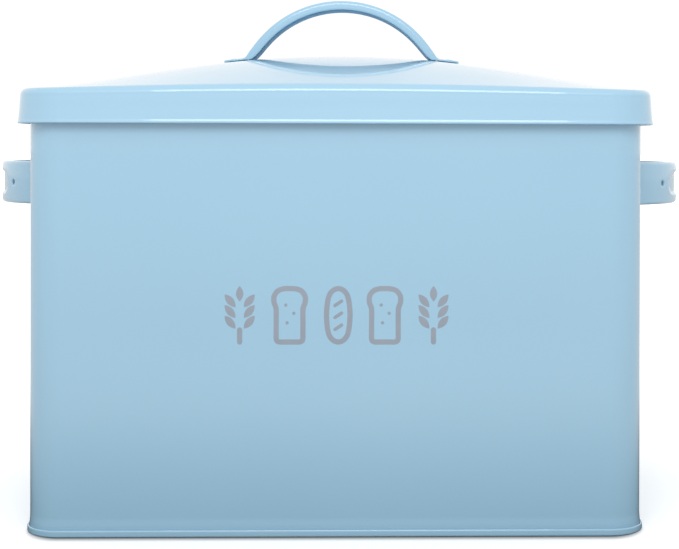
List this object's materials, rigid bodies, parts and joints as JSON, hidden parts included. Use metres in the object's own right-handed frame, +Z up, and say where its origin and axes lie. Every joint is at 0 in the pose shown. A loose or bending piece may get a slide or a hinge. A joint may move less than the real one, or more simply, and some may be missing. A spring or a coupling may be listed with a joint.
{
  "type": "bread bin with lift-off lid",
  "caption": "Rectangular sheet-steel bread bin with a loose domed lid, a strap handle on the lid and one on each side.",
  "frame": {"origin": "middle of the footprint, on the surface the bin stands on", "axes": "+X along the bin's long side to the right as seen from the front, +Z up, the front faces -Y"},
  "size_m": [0.3404, 0.1914, 0.2493],
  "materials": {
    "blue_coat": "glossy light blue coating on sheet steel",
    "blue_coat_handles": "glossy light blue coating on pressed steel straps and rivets",
    "grey_print": "thin grey printed line drawing under the gloss"
  },
  "bodies": {
    "bin": {"body_wall": "blue_coat", "base_pan": "blue_coat", "side_handle_left": "blue_coat_handles", "side_handle_right": "blue_coat_handles", "left_handle_rivet_front": "blue_coat_handles", "left_handle_rivet_rear": "blue_coat_handles", "right_handle_rivet_front": "blue_coat_handles", "right_handle_rivet_rear": "blue_coat_handles"},
    "lid": {"lid_panel": "blue_coat", "lid_handle": "blue_coat_handles", "lid_handle_rivet_left": "blue_coat_handles", "lid_handle_rivet_right": "blue_coat_handles"}
  },
  "joints": [
    {"name": "lid_lift", "type": "slide", "parent": "bin", "child": "lid", "axis": [0, 0, 1], "range_m": [0, 0.15]}
  ]
}
